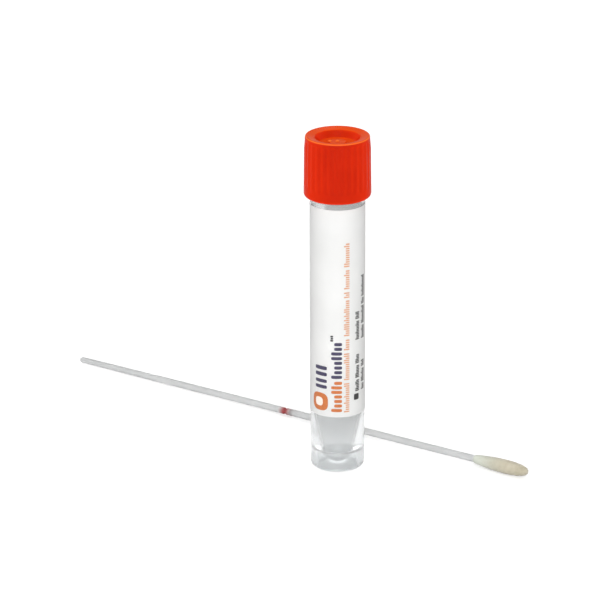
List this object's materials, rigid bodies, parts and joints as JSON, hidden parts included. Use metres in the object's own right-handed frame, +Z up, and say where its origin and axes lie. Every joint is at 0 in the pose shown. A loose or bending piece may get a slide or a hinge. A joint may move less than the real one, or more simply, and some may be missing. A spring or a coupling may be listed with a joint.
{
  "type": "specimen swab tube",
  "caption": "Clear self-standing transport tube with a conical well, ribbed screw cap and paper-white label, with its snap-off flocked swab lying beside it.",
  "frame": {"origin": "centre of the box around tube and swab, on the bench surface they stand and lie on", "axes": "+Z up along the tube; -Y is the front of the label; +X is to the right of it, towards the swab's tip"},
  "size_m": [0.1374, 0.099, 0.102],
  "materials": {
    "clear_plastic": "clear moulded polypropylene",
    "cap_plastic": "satin moulded polypropylene, red-orange",
    "seal_rubber": "soft white elastomer",
    "label_film": "satin white film, printed",
    "medium": "clear liquid",
    "shaft_plastic": "translucent moulded polystyrene with a red snap mark",
    "flock": "cream flocked nylon fibre"
  },
  "bodies": {
    "tube": {"specimen_tube": "clear_plastic", "tube_label": "label_film", "transport_medium": "medium", "swab_shaft": "shaft_plastic", "swab_tip": "flock"},
    "seal": {"cap_seal_ring": "seal_rubber"},
    "cap": {"screw_cap": "cap_plastic"}
  },
  "joints": [
    {"name": "cap_lift", "type": "slide", "parent": "tube", "child": "seal", "axis": [0, 0, 1], "range_m": [0, 0.018]},
    {"name": "cap_turn", "type": "hinge", "parent": "seal", "child": "cap", "pos_m": [0.01263, -0.03617, 0.1], "axis": [0, 0, 1], "range_deg": [0, 1080]}
  ],
  "couplings": [
    {"joint": "cap_lift", "follows": "cap_turn", "m_per_rad": 0.0009549}
  ]
}
